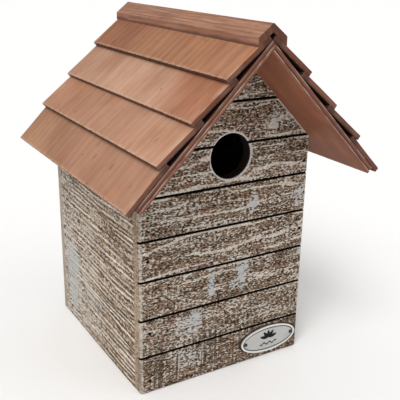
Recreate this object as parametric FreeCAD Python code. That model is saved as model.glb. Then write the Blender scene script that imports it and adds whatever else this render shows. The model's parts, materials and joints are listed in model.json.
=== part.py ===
import FreeCAD, Part
import math
import os

# Gabled nest box: a nailed pine box with a grooved front, a shingled roof and a cleaning door in the back.
#
# Millimetres. +Z is up and +Y runs from the front to the back, so the entrance hole faces -Y.
# The origin is on the underside of the floor board, in the middle of the box.
# On the roof, s runs down a slope from the line where the two soffits meet, and n stands
# square off the soffit.

V = FreeCAD.Vector

# --- driving dimensions: box ----------------------------------------------------------------------
BOARD = 9.0                      # thickness of the front, back, side and floor boards and of the door
BODY_WIDTH = 138.0               # outside, across the side boards
BODY_DEPTH = 154.0               # outside, from the front board's face to the back board's face
EAVE_HEIGHT = 172.0              # where the gable slopes meet the outside of the side boards
ROOF_ANGLE = math.radians(45.0)
CORNER_RADIUS = 2.4              # eased upright corners
TOE_RADIUS = 1.0                 # eased bottom edge of the front board

COURSE_PITCH = 29.2              # height of one mock plank on the front board
FIRST_GROOVE = 28.7              # the lowest plank is a little narrower
COURSE_GROOVES = 7
GROOVE_WIDTH = 1.5
GROOVE_DEPTH = 2.6
GROOVE_EASING = 0.5              # the mock planks' long edges are planed off at 45 degrees
HOLE_RADIUS = 16.0               # 32 mm entrance
HOLE_X = 1.1                     # bored slightly off the middle
HOLE_HEIGHT = 166.5
HOLE_EASING = 0.8

DRAIN_RADIUS = 3.5
DRAIN_X = 42.0
DRAIN_Y = 48.0

# --- driving dimensions: roof ---------------------------------------------------------------------
ROOF_OVERHANG_FRONT = 42.0
ROOF_OVERHANG_BACK = 2.0
CAP_OVERRUN = 1.4                # how far the ridge cap runs past the shingles at the back
DECK_THICKNESS = 5.0             # three-ply sheet
DECK_LENGTH = 124.0              # down the slope, from the ridge line to the eave
SHINGLE_THICKNESS = 3.6
SHINGLE_EXPOSURE = 32.2
SHINGLE_LENGTHS = {"left": (38.1, 39.0, 38.4, 37.5), "right": (37.5, 37.7, 38.3, 37.5)}
SHINGLE_COURSES = 4
RIDGE_SHY = 0.1                  # how far the top shingles stop short of each other
CAP_HALF_WIDTH = 10.4
CAP_THICKNESS = 4.3
CAP_EDGE_RADIUS = 0.9

# --- driving dimensions: cleaning door and its hardware -------------------------------------------
DOOR_OPENING_WIDTH = 90.0
DOOR_OPENING_TOP = 118.0
DOOR_SIDE_GAP = 1.2
DOOR_TOP_GAP = 1.0
DOOR_BOTTOM_GAP = 1.0
DOOR_STOP_GAP = 0.3              # between the closed door and the end of the floor board
FINGER_NOTCH_X = 28.0
FINGER_NOTCH_RADIUS = 8.0

HINGE_HEIGHTS = {"lower": 25.0, "upper": 93.0}
LEAF_HEIGHT = 25.0
LEAF_WIDTH = 10.5                # from the hinge axis to the leaf's far edge
LEAF_THICKNESS = 0.9
LEAF_CORNER_RADIUS = 1.5
KNUCKLE_RADIUS = 1.7
KNUCKLE_GAP = 0.25               # along the axis, and between a knuckle and the other leaf
HINGE_PIN_RADIUS = 0.9
HINGE_RUNNING_CLEARANCE = 0.05
LEAF_SCREW_OUT = 6.3             # from the hinge axis
LEAF_SCREW_UP = 8.0              # from the leaf's middle

BUTTON_X = 63.0
BUTTON_Z = 40.0
BUTTON_THICKNESS = 1.5
BUTTON_HALF_WIDTH = 5.0
BUTTON_REACH = 25.0              # from the screw to the centre of the far round end
BUTTON_HOLE_CLEARANCE = 0.08
BUTTON_PLAY = 0.1                # between the strip and the screw's head
BUTTON_SCREW_RADIUS = 1.5
BUTTON_SCREW_HEAD_RADIUS = 3.2
BUTTON_SCREW_HEAD_HEIGHT = 2.0
BUTTON_SCREW_REACH = 16.0        # into the back board and the side board's end behind it
WASHER_THICKNESS = 0.6
WASHER_RADIUS = 3.4

# --- driving dimensions: hanger, plaque and fasteners ---------------------------------------------
HANGER_HEIGHT = 190.0            # the round part of the keyhole
HANGER_THICKNESS = 1.2
HANGER_HALF_WIDTH = 10.0
HANGER_HALF_SPAN = 20.0          # from the middle of the plate to each screw
HANGER_HOLE_RADIUS = 4.5
HANGER_SLOT_RADIUS = 2.3
HANGER_SLOT_RISE = 11.0
POCKET_RADIUS = 6.5
POCKET_DEPTH = 6.0

PLAQUE_X = 40.8
PLAQUE_Z = 14.6
PLAQUE_HALF_WIDTH = 25.2
PLAQUE_HALF_HEIGHT = 10.8
PLAQUE_THICKNESS = 0.7
PLAQUE_RIM_WIDTH = 1.3
PLAQUE_RIM_HEIGHT = 1.0
PLAQUE_PIN_OFFSET = 21.3

LEFT_FRONT_NAILS = ((-61.6, 9.2), (-61.6, 47.3), (-62.5, 102.0), (-63.0, 155.0))
RIGHT_FRONT_NAILS = ((65.2, 49.8), (64.8, 102.0), (64.8, 155.0))
BACK_NAIL_HEIGHTS = (9.2, 62.0, 108.0, 155.0)
FLOOR_NAIL_PLACES = (-59.0, -13.0, 33.0)
DECK_NAIL_PLACES = (18.0, 54.0, 86.0)
BRAD_PLACES = (-101.0, -21.0, 59.0)
BRAD_STAGGER = 6.0               # keeps the left slope's brads clear of the right slope's at the ridge
BRAD_FROM_TOP = 2.6

SNUG = 0.03                      # radial room round a driven nail or screw
DRILL_PAST = 1.0                 # how far a cutting tool runs past a surface
TINY = 1e-6

# --- derived places -------------------------------------------------------------------------------
HALF_WIDTH = BODY_WIDTH / 2
INNER_HALF_WIDTH = HALF_WIDTH - BOARD
FRONT = -BODY_DEPTH / 2
BACK = BODY_DEPTH / 2
RIDGE_HEIGHT = EAVE_HEIGHT + HALF_WIDTH * math.tan(ROOF_ANGLE)
ROOF_FRONT = FRONT - ROOF_OVERHANG_FRONT
ROOF_BACK = BACK + ROOF_OVERHANG_BACK
SHINGLE_TILT = math.asin(SHINGLE_THICKNESS / SHINGLE_EXPOSURE)
DOOR_HALF_WIDTH = DOOR_OPENING_WIDTH / 2 - DOOR_SIDE_GAP
HINGE_X = -(DOOR_OPENING_WIDTH - DOOR_SIDE_GAP) / 2
HINGE_Y = BACK + KNUCKLE_RADIUS
HANGER_MIDDLE = HANGER_HEIGHT + HANGER_SLOT_RISE / 2
SIDES = {"left": -1, "right": 1}


# --- small shape helpers --------------------------------------------------------------------------
def prism_y(outline, y_start, y_end):
    """A solid with an outline of (x, z) points, running along Y."""
    points = [V(x, y_start, z) for x, z in outline]
    return Part.Face(Part.makePolygon(points + points[:1])).extrude(V(0, y_end - y_start, 0))


def prism_x(outline, x_start, x_end):
    """A solid with an outline of (y, z) points, running along X."""
    points = [V(x_start, y, z) for y, z in outline]
    return Part.Face(Part.makePolygon(points + points[:1])).extrude(V(x_end - x_start, 0, 0))


def block(x_pair, y_pair, z_pair):
    """A box between two values on each axis, given in either order."""
    low = [min(pair) for pair in (x_pair, y_pair, z_pair)]
    size = [abs(pair[1] - pair[0]) for pair in (x_pair, y_pair, z_pair)]
    return Part.makeBox(*size, V(*low))


def rod(radius, length, start, direction):
    return Part.makeCylinder(radius, length, V(*start), V(*direction))


def obround_y(x, z_low, z_high, radius, y_start, y_end):
    """An upright slot shape between two round ends centred at z_low and z_high, running along Y."""
    ends = [rod(radius, y_end - y_start, (x, y_start, z), (0, 1, 0)) for z in (z_low, z_high)]
    middle = block((x - radius, x + radius), (y_start, y_end), (z_low, z_high))
    return middle.fuse(ends).removeSplitter()


def flat_edges_at_y(solid, y):
    """The edges that lie wholly in the plane at y."""
    return [e for e in solid.Edges if abs(e.BoundBox.YMin - y) < TINY and abs(e.BoundBox.YMax - y) < TINY]


def slope_point(side, s, n):
    """(x, z) of a point s down the slope and n off the soffit, on the right (1) or the left (-1)."""
    across = s * math.cos(ROOF_ANGLE) + n * math.sin(ROOF_ANGLE)
    return side * across, RIDGE_HEIGHT - s * math.sin(ROOF_ANGLE) + n * math.cos(ROOF_ANGLE)


def slope_slab(side, s_start, n_start, length, thickness, tilt=0.0):
    """A sheet along the whole roof, from its lower upslope corner at (s_start, n_start).

    It leans by tilt, so its low end stands further off the deck.
    """
    corners = []
    for a, b in ((0, 0), (length, 0), (length, thickness), (0, thickness)):
        s = s_start + a * math.cos(tilt) - b * math.sin(tilt)
        n = n_start + a * math.sin(tilt) + b * math.cos(tilt)
        corners.append(slope_point(side, s, n))
    return prism_y(corners, ROOF_FRONT, ROOF_BACK)


# --- fasteners: each gives a solid, and the hole that it needs ------------------------------------
def driven(place, direction, length, shank_radius, head_radius, head_thickness, sink):
    """A nail or pin driven in at place, and its hole.

    The top of its head is sink below the surface, or above it if sink is negative.
    """
    start = V(*place)
    way = V(*direction)
    way.normalize()
    neck = sink + head_thickness
    head = Part.makeCylinder(head_radius, head_thickness, start + way * sink, way)
    shank = Part.makeCylinder(shank_radius, length - neck, start + way * neck, way)
    hole = Part.makeCylinder(shank_radius + SNUG, length + SNUG, start, way)
    if neck > TINY:
        hole = hole.fuse(Part.makeCylinder(head_radius + SNUG, neck, start, way))
    return head.fuse(shank).removeSplitter(), hole


def front_nail(x, z):
    """A nail into the end of a side board, punched just below the surface."""
    return driven((x, FRONT, z), (0, 1, 0), 26.0, 0.75, 1.1, 0.8, 0.7)


def back_nail(side, z):
    return driven((side * (HALF_WIDTH - BOARD / 2), BACK, z), (0, -1, 0), 26.0, 0.75, 1.1, 0.8, 0.7)


def floor_nail(side, y):
    return driven((side * HALF_WIDTH, y, BOARD / 2), (-side, 0, 0), 24.0, 0.75, 1.1, 0.8, 0.5)


def deck_nail(side, s, y):
    """A nail square through the deck into a gable edge, its head flush under the shingles."""
    x, z = slope_point(side, s, DECK_THICKNESS)
    inward = (-side * math.sin(ROOF_ANGLE), 0, -math.cos(ROOF_ANGLE))
    return driven((x, y, z), inward, 17.0, 0.75, 1.5, 0.5, 0.0)


def shingle_start(course):
    """Where a course's upslope end sits on the deck; course 1 is the highest."""
    return RIDGE_SHY - DECK_THICKNESS + (course - 1) * SHINGLE_EXPOSURE


def shingle_tilt(course):
    """The lowest course lies flat on the deck, and the others rest on the course below."""
    return 0.0 if course == SHINGLE_COURSES else SHINGLE_TILT


def shingle_brad(side, course, y):
    """A brad near a shingle's top end, under the course above or the ridge cap."""
    tilt = shingle_tilt(course)
    s = shingle_start(course) + BRAD_FROM_TOP * math.cos(tilt) - SHINGLE_THICKNESS * math.sin(tilt)
    n = DECK_THICKNESS + BRAD_FROM_TOP * math.sin(tilt) + SHINGLE_THICKNESS * math.cos(tilt)
    x, z = slope_point(side, s, n)
    lean = ROOF_ANGLE - tilt
    return driven((x, y, z), (-side * math.sin(lean), 0, -math.cos(lean)), 7.6, 0.5, 0.9, 0.4, 0.0)


def cross_recess(x, z, top, arm, width, depth):
    """The cutter for a screw's cross recess, in a head whose top faces +Y."""
    across = block((x - arm, x + arm), (top - depth, top + DRILL_PAST), (z - width / 2, z + width / 2))
    upright = block((x - width / 2, x + width / 2), (top - depth, top + DRILL_PAST), (z - arm, z + arm))
    return across.fuse(upright)


def countersunk_screw(x, z, seat, length, shank_radius, head_radius):
    """A screw driven forwards, its flat head flush with a plate's outer face at y = seat."""
    depth = head_radius - shank_radius
    start = V(x, seat, z)
    way = V(0, -1, 0)
    head = Part.makeCone(head_radius, shank_radius, depth, start, way)
    shank = Part.makeCylinder(shank_radius, length - depth, start + way * depth, way)
    recess = cross_recess(x, z, seat, 0.55 * head_radius, 0.22 * head_radius, 0.6 * depth)
    solid = head.fuse(shank).removeSplitter().cut(recess)
    sink = Part.makeCone(head_radius + SNUG, shank_radius + SNUG, depth, start, way)
    bore = Part.makeCylinder(shank_radius + SNUG, length + SNUG, start, way)
    return solid, sink.fuse(bore)


def button_screw():
    """A domed screw through the back board into a side board's end, which the turn button pivots on."""
    stand_off = WASHER_THICKNESS + BUTTON_THICKNESS + BUTTON_PLAY
    proud = stand_off + BUTTON_SCREW_HEAD_HEIGHT
    top = BACK + proud
    solid, hole = driven((BUTTON_X, BACK, BUTTON_Z), (0, -1, 0), BUTTON_SCREW_REACH, BUTTON_SCREW_RADIUS,
                         BUTTON_SCREW_HEAD_RADIUS, BUTTON_SCREW_HEAD_HEIGHT, -proud)
    solid = solid.makeFillet(BUTTON_SCREW_HEAD_HEIGHT / 2, flat_edges_at_y(solid, top))
    return solid.cut(cross_recess(BUTTON_X, BUTTON_Z, top, 1.5, 0.6, 1.0)), hole


# --- boards of the box ----------------------------------------------------------------------------
def gable_board(y_face, y_inner):
    """A pentagonal end board with the upright corners of its outer face eased."""
    outline = [(-HALF_WIDTH, 0), (HALF_WIDTH, 0), (HALF_WIDTH, EAVE_HEIGHT), (0, RIDGE_HEIGHT),
               (-HALF_WIDTH, EAVE_HEIGHT)]
    board = prism_y(outline, y_face, y_inner)
    corners = [e for e in flat_edges_at_y(board, y_face) if e.BoundBox.XLength < TINY]
    return board.makeFillet(CORNER_RADIUS, corners)


def groove_cutter(middle):
    """A slot across the whole front at the height middle, with a mouth that flares at 45 degrees."""
    half = GROOVE_WIDTH / 2
    wide = half + GROOVE_EASING + DRILL_PAST
    outline = [(FRONT - DRILL_PAST, middle - wide), (FRONT + GROOVE_EASING, middle - half),
               (FRONT + GROOVE_DEPTH, middle - half), (FRONT + GROOVE_DEPTH, middle + half),
               (FRONT + GROOVE_EASING, middle + half), (FRONT - DRILL_PAST, middle + wide)]
    return prism_x(outline, -HALF_WIDTH - DRILL_PAST, HALF_WIDTH + DRILL_PAST)


def front_board():
    board = gable_board(FRONT, FRONT + BOARD)
    toe = [e for e in flat_edges_at_y(board, FRONT) if e.BoundBox.ZMax < TINY]
    board = board.makeFillet(TOE_RADIUS, toe)
    entrance = rod(HOLE_RADIUS, BOARD + 2 * DRILL_PAST, (HOLE_X, FRONT - DRILL_PAST, HOLE_HEIGHT), (0, 1, 0))
    board = board.cut(entrance)
    rim = [e for e in flat_edges_at_y(board, FRONT) if isinstance(e.Curve, Part.Circle)]
    board = board.makeFillet(HOLE_EASING, rim)
    grooves = [groove_cutter(FIRST_GROOVE + index * COURSE_PITCH) for index in range(COURSE_GROOVES)]
    return board.cut(grooves)


def back_board():
    board = gable_board(BACK, BACK - BOARD)
    half = DOOR_OPENING_WIDTH / 2
    through = (BACK - BOARD - DRILL_PAST, BACK + DRILL_PAST)
    doorway = block((-half, half), through, (-DRILL_PAST, DOOR_OPENING_TOP))
    slot_top = HANGER_HEIGHT + HANGER_SLOT_RISE
    pocket = obround_y(0, HANGER_HEIGHT, slot_top, POCKET_RADIUS, BACK - POCKET_DEPTH, BACK + DRILL_PAST)
    return board.cut([doorway, pocket])


def side_board(side):
    rise = BOARD * math.tan(ROOF_ANGLE)
    outer = side * HALF_WIDTH
    inner = side * INNER_HALF_WIDTH
    outline = [(outer, 0), (inner, 0), (inner, EAVE_HEIGHT + rise), (outer, EAVE_HEIGHT)]
    return prism_y(outline, FRONT + BOARD, BACK - BOARD)


def floor_board():
    depth = (FRONT + BOARD, BACK - BOARD - DOOR_STOP_GAP)
    board = block((-INNER_HALF_WIDTH, INNER_HALF_WIDTH), depth, (0, BOARD))
    drains = []
    for x in (-DRAIN_X, DRAIN_X):
        for y in (-DRAIN_Y, DRAIN_Y):
            drains.append(rod(DRAIN_RADIUS, BOARD + 2 * DRILL_PAST, (x, y, -DRILL_PAST), (0, 0, 1)))
    return board.cut(drains)


def cleaning_door():
    """A board that fills the doorway, with a finger notch in front of the floor board's end."""
    depth = (BACK - BOARD, BACK)
    height = (DOOR_BOTTOM_GAP, DOOR_OPENING_TOP - DOOR_TOP_GAP)
    board = block((-DOOR_HALF_WIDTH, DOOR_HALF_WIDTH), depth, height)
    notch_start = (FINGER_NOTCH_X, depth[0] - DRILL_PAST, DOOR_BOTTOM_GAP)
    return board.cut(rod(FINGER_NOTCH_RADIUS, BOARD + 2 * DRILL_PAST, notch_start, (0, 1, 0)))


# --- roof -----------------------------------------------------------------------------------------
def roof_deck(side):
    """The left sheet runs up past the ridge line, and the right sheet butts against its underside."""
    lap = DECK_THICKNESS if side < 0 else 0.0
    return slope_slab(side, -lap, 0.0, DECK_LENGTH + lap, DECK_THICKNESS)


def shingle(side, course, length):
    start = shingle_start(course)
    return slope_slab(side, start, DECK_THICKNESS, length, SHINGLE_THICKNESS, shingle_tilt(course))


def ridge_cap():
    """A moulding of even thickness that lies on the top shingles, with upright sides."""
    lean = ROOF_ANGLE - SHINGLE_TILT
    s = shingle_start(1) - SHINGLE_THICKNESS * math.sin(SHINGLE_TILT)
    n = DECK_THICKNESS + SHINGLE_THICKNESS * math.cos(SHINGLE_TILT)
    x, z = slope_point(1, s, n)
    inner_top = z + x * math.tan(lean)
    outer_top = inner_top + CAP_THICKNESS / math.cos(lean)
    drop = CAP_HALF_WIDTH * math.tan(lean)
    outline = [(0, inner_top), (CAP_HALF_WIDTH, inner_top - drop), (CAP_HALF_WIDTH, outer_top - drop),
               (0, outer_top), (-CAP_HALF_WIDTH, outer_top - drop), (-CAP_HALF_WIDTH, inner_top - drop)]
    cap = prism_y(outline, ROOF_FRONT, ROOF_BACK + CAP_OVERRUN)
    softened = []
    for edge in cap.Edges:
        box = edge.BoundBox
        runs_along = box.YLength > CAP_HALF_WIDTH * 2 and box.XLength < TINY
        if runs_along and min(abs(box.ZMax - outer_top), abs(box.ZMax - outer_top + drop)) < TINY:
            softened.append(edge)
    return cap.makeFillet(CAP_EDGE_RADIUS, softened)


# --- hinges ---------------------------------------------------------------------------------------
def knuckle_span(middle, index):
    """The two ends of knuckle 0, 1 or 2, counted from the bottom of a hinge."""
    pitch = LEAF_HEIGHT / 3
    low = middle - LEAF_HEIGHT / 2 + index * pitch
    return low + KNUCKLE_GAP / 2, low + pitch - KNUCKLE_GAP / 2


def hinge_leaf(middle, side, knuckles, bore_radius, screw_holes):
    """A leaf that lies on the back face, left (-1) or right (1) of the axis, with the knuckles listed."""
    depth = (BACK, BACK + LEAF_THICKNESS)
    near = HINGE_X + side * (KNUCKLE_RADIUS + KNUCKLE_GAP)
    far = HINGE_X + side * LEAF_WIDTH
    plate = block((near, far), depth, (middle - LEAF_HEIGHT / 2, middle + LEAF_HEIGHT / 2))
    upright = [e for e in plate.Edges if e.BoundBox.YLength > LEAF_THICKNESS / 2]
    corners = [e for e in upright if abs(e.BoundBox.XMin - far) < TINY]
    leaf = plate.makeFillet(LEAF_CORNER_RADIUS, corners)
    for index in knuckles:
        low, high = knuckle_span(middle, index)
        tab = block((HINGE_X, near + side * TINY), depth, (low, high))
        leaf = leaf.fuse([tab, rod(KNUCKLE_RADIUS, high - low, (HINGE_X, HINGE_Y, low), (0, 0, 1))])
    bore = rod(bore_radius, 2 * LEAF_HEIGHT, (HINGE_X, HINGE_Y, middle - LEAF_HEIGHT), (0, 0, 1))
    return leaf.removeSplitter().cut([bore] + screw_holes)


def hinge_pin(middle):
    """A pin with a button head at each end of the barrel."""
    head_height = 0.7
    low = middle - LEAF_HEIGHT / 2
    pin = rod(HINGE_PIN_RADIUS, LEAF_HEIGHT, (HINGE_X, HINGE_Y, low), (0, 0, 1))
    heads = [rod(KNUCKLE_RADIUS - 0.2, head_height, (HINGE_X, HINGE_Y, z), (0, 0, 1))
             for z in (low - head_height + KNUCKLE_GAP / 2, low + LEAF_HEIGHT - KNUCKLE_GAP / 2)]
    return pin.fuse(heads).removeSplitter()


def leaf_screws(middle, side):
    x = HINGE_X + side * LEAF_SCREW_OUT
    seat = BACK + LEAF_THICKNESS
    heights = (middle - LEAF_SCREW_UP, middle + LEAF_SCREW_UP)
    return [countersunk_screw(x, z, seat, 7.5, 1.0, 1.8) for z in heights]


# --- other hardware -------------------------------------------------------------------------------
def hanger_plate(screw_holes):
    z_low = HANGER_MIDDLE - HANGER_HALF_SPAN
    z_high = HANGER_MIDDLE + HANGER_HALF_SPAN
    plate = obround_y(0, z_low, z_high, HANGER_HALF_WIDTH, BACK, BACK + HANGER_THICKNESS)
    depth = (BACK - DRILL_PAST, BACK + HANGER_THICKNESS + DRILL_PAST)
    hole = rod(HANGER_HOLE_RADIUS, depth[1] - depth[0], (0, depth[0], HANGER_HEIGHT), (0, 1, 0))
    slot = obround_y(0, HANGER_HEIGHT, HANGER_HEIGHT + HANGER_SLOT_RISE, HANGER_SLOT_RADIUS, *depth)
    return plate.cut([hole, slot] + screw_holes)


def turn_button():
    """A steel strip that hangs from its screw, clear of the door, and turns level to hold it shut."""
    y_low = BACK + WASHER_THICKNESS
    depth = (y_low, y_low + BUTTON_THICKNESS)
    strip = obround_y(BUTTON_X, BUTTON_Z - BUTTON_REACH, BUTTON_Z, BUTTON_HALF_WIDTH, *depth)
    strip = strip.makeFillet(0.4, flat_edges_at_y(strip, depth[1]))
    bore_start = (BUTTON_X, y_low - DRILL_PAST, BUTTON_Z)
    bore_radius = BUTTON_SCREW_RADIUS + BUTTON_HOLE_CLEARANCE
    return strip.cut(rod(bore_radius, BUTTON_THICKNESS + 2 * DRILL_PAST, bore_start, (0, 1, 0)))


def button_washer():
    washer = rod(WASHER_RADIUS, WASHER_THICKNESS, (BUTTON_X, BACK, BUTTON_Z), (0, 1, 0))
    bore_start = (BUTTON_X, BACK - DRILL_PAST, BUTTON_Z)
    bore_radius = BUTTON_SCREW_RADIUS + SNUG
    return washer.cut(rod(bore_radius, WASHER_THICKNESS + 2 * DRILL_PAST, bore_start, (0, 1, 0)))


def plaque_oval(inset, y_start, y_end):
    """An oval slab that is inset from the plaque's outline."""
    centre = V(PLAQUE_X, y_start, PLAQUE_Z)
    long_end = centre + V(PLAQUE_HALF_WIDTH - inset, 0, 0)
    short_end = centre + V(0, 0, PLAQUE_HALF_HEIGHT - inset)
    curve = Part.Ellipse(long_end, short_end, centre)
    return Part.Face(Part.Wire(curve.toShape())).extrude(V(0, y_end - y_start, 0))


def plaque(pin_holes):
    """An oval plate with a raised rim."""
    plate = plaque_oval(0.0, FRONT, FRONT - PLAQUE_RIM_HEIGHT)
    field = plaque_oval(PLAQUE_RIM_WIDTH, FRONT - PLAQUE_THICKNESS, FRONT - PLAQUE_RIM_HEIGHT - DRILL_PAST)
    return plate.cut([field] + pin_holes)


def plaque_pin(side):
    """A small domed pin through the plaque into the front board, and its hole."""
    head = 0.9
    top = FRONT - PLAQUE_THICKNESS - head
    place = (PLAQUE_X + side * PLAQUE_PIN_OFFSET, FRONT, PLAQUE_Z)
    solid, hole = driven(place, (0, 1, 0), 7.0, 0.7, 1.4, head, -(PLAQUE_THICKNESS + head))
    through = rod(0.7 + SNUG, PLAQUE_THICKNESS, (place[0], FRONT - PLAQUE_THICKNESS, PLAQUE_Z), (0, 1, 0))
    return solid.makeFillet(0.6, flat_edges_at_y(solid, top)), hole.fuse(through)


# --- assembly -------------------------------------------------------------------------------------
class Fasteners:
    """A set of like fasteners, and the holes they need."""

    def __init__(self, pairs):
        self.solids = [solid for solid, _ in pairs]
        self.holes = [hole for _, hole in pairs]
        self.shape = Part.makeCompound(self.solids)


def roof_nodes(deck_nails):
    """Decks, shingles and brads. The top brads of both slopes end in the deck that runs up to the ridge."""
    nodes = {}
    all_brads = []
    for name, side in SIDES.items():
        shift = BRAD_STAGGER if side < 0 else 0.0
        for course, length in enumerate(SHINGLE_LENGTHS[name], start=1):
            pairs = [shingle_brad(side, course, y - shift) for y in BRAD_PLACES]
            nodes[f"{name}_shingle_{course}"] = shingle(side, course, length).cut(Fasteners(pairs).holes)
            all_brads += pairs
    brads = Fasteners(all_brads)
    for name, side in SIDES.items():
        nodes[f"{name}_roof_deck"] = roof_deck(side).cut(deck_nails.holes + brads.holes)
    nodes["shingle_brads"] = brads.shape
    nodes["deck_nails"] = deck_nails.shape
    nodes["ridge_cap"] = ridge_cap()
    return nodes


def hinge_nodes():
    """Leaves, pins and screws of both hinges, with the holes that their screws need in the wood."""
    nodes = {}
    frame_pairs = []
    door_pairs = []
    running_bore = HINGE_PIN_RADIUS + HINGE_RUNNING_CLEARANCE
    for name, middle in HINGE_HEIGHTS.items():
        frame_screws = leaf_screws(middle, -1)
        door_screws = leaf_screws(middle, 1)
        frame_holes = [hole for _, hole in frame_screws]
        door_holes = [hole for _, hole in door_screws]
        nodes[f"{name}_hinge_frame_leaf"] = hinge_leaf(middle, -1, (0, 2), HINGE_PIN_RADIUS, frame_holes)
        nodes[f"{name}_hinge_door_leaf"] = hinge_leaf(middle, 1, (1,), running_bore, door_holes)
        nodes[f"{name}_hinge_pin"] = hinge_pin(middle)
        frame_pairs += frame_screws
        door_pairs += door_screws
    frame = Fasteners(frame_pairs)
    door = Fasteners(door_pairs)
    nodes["hinge_frame_screws"] = frame.shape
    nodes["hinge_door_screws"] = door.shape
    return nodes, frame.holes, door.holes


def assemble():
    """Node name to shape. Wood and plates are cut by the holes of what is driven into them."""
    front_nails = Fasteners([front_nail(x, z) for x, z in LEFT_FRONT_NAILS + RIGHT_FRONT_NAILS])
    back_nails = Fasteners([back_nail(side, z) for side in (-1, 1) for z in BACK_NAIL_HEIGHTS])
    floor_nails = Fasteners([floor_nail(side, y) for side in (-1, 1) for y in FLOOR_NAIL_PLACES])
    gable_middles = (FRONT + BOARD / 2, BACK - BOARD / 2)
    deck_nails = Fasteners(
        [deck_nail(side, s, y) for side in (-1, 1) for s in DECK_NAIL_PLACES for y in gable_middles])
    plaque_pins = Fasteners([plaque_pin(side) for side in (-1, 1)])
    hanger_seat = BACK + HANGER_THICKNESS
    hanger_places = (HANGER_MIDDLE - HANGER_HALF_SPAN, HANGER_MIDDLE + HANGER_HALF_SPAN)
    hanger_screws = Fasteners([countersunk_screw(0, z, hanger_seat, 8.5, 1.4, 2.6) for z in hanger_places])
    screw, screw_hole = button_screw()
    nodes, frame_screw_holes, door_screw_holes = hinge_nodes()
    nodes.update(roof_nodes(deck_nails))

    back_cuts = back_nails.holes + deck_nails.holes + hanger_screws.holes + frame_screw_holes
    nodes["front_board"] = front_board().cut(front_nails.holes + deck_nails.holes + plaque_pins.holes)
    nodes["back_board"] = back_board().cut(back_cuts + [screw_hole])
    side_cuts = front_nails.holes + back_nails.holes + floor_nails.holes + [screw_hole]
    for name, side in SIDES.items():
        nodes[f"{name}_side_board"] = side_board(side).cut(side_cuts)
    nodes["floor_board"] = floor_board().cut(floor_nails.holes)
    nodes["cleaning_door"] = cleaning_door().cut(door_screw_holes)
    nodes["front_nails"] = front_nails.shape
    nodes["back_nails"] = back_nails.shape
    nodes["floor_nails"] = floor_nails.shape
    nodes["hanger_plate"] = hanger_plate(hanger_screws.holes)
    nodes["hanger_screws"] = hanger_screws.shape
    nodes["turn_button"] = turn_button()
    nodes["turn_button_washer"] = button_washer()
    nodes["turn_button_screw"] = screw
    nodes["plaque"] = plaque(plaque_pins.holes)
    nodes["plaque_pins"] = plaque_pins.shape
    return nodes


def main():
    os.makedirs("parts", exist_ok=True)
    for name, shape in assemble().items():
        if not shape.isValid():
            raise ValueError(f"{name} is not a valid shape")
        shape.exportStep(f"parts/{name}.step")
        box = shape.BoundBox
        size = f"{box.XLength:.1f} x {box.YLength:.1f} x {box.ZLength:.1f}"
        print(f"{name}: {len(shape.Solids)} solids, {size} mm, {shape.Volume / 1000:.2f} cm3")


main()
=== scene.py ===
import json
import math

import bpy
from mathutils import Matrix, Vector, noise


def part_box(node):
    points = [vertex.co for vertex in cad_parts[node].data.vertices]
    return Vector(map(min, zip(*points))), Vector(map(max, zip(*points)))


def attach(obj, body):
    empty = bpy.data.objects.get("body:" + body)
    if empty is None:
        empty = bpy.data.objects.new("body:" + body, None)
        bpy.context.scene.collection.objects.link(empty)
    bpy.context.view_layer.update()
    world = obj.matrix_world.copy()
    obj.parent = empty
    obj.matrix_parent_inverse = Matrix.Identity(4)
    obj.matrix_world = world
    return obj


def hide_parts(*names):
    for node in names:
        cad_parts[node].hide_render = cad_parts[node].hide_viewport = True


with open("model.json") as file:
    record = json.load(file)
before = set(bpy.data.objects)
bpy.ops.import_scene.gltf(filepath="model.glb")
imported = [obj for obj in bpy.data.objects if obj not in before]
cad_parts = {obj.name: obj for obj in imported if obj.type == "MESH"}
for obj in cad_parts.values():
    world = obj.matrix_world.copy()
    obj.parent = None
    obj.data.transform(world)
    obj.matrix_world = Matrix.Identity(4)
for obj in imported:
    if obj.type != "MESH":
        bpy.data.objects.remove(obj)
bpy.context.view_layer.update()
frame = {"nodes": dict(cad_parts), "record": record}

MM = 0.001
X = Vector((1, 0, 0))
Y = Vector((0, 1, 0))
Z = Vector((0, 0, 1))

# --- the box, in millimetres ----------------------------------------------------------------------
ROOF_ANGLE = math.radians(45.0)
SHINGLE_THICKNESS = 3.6
SHINGLE_EXPOSURE = 32.2
SHINGLE_COURSES = 4
GROOVE_PITCH = 29.2
FIRST_GROOVE = 28.7
GROOVE_HALF_WIDTH = 0.75
GROOVE_REACH = 3.0               # how far in from the front the grooves are painted dark as shade
HOLE_X = 1.1
HOLE_HEIGHT = 166.5
HOLE_RADIUS = 16.0
PLY_EDGES = (2.0, 3.0)           # the heights of the dark core in the thickness of a roof sheet
FRONT_NAILS = ((-61.6, 9.2), (-61.6, 47.3), (-62.5, 102.0), (-63.0, 155.0),
               (65.2, 49.8), (64.8, 102.0), (64.8, 155.0))
SIDES = {"left": -1, "right": 1}

# --- the box, in metres ---------------------------------------------------------------------------
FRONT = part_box("front_board")[0].y
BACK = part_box("back_board")[1].y
HALF_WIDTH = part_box("front_board")[1].x
GABLE_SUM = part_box("front_board")[1].z      # height plus distance from the middle, all along the gable
CAP_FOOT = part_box("ridge_cap")[0].z

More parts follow.
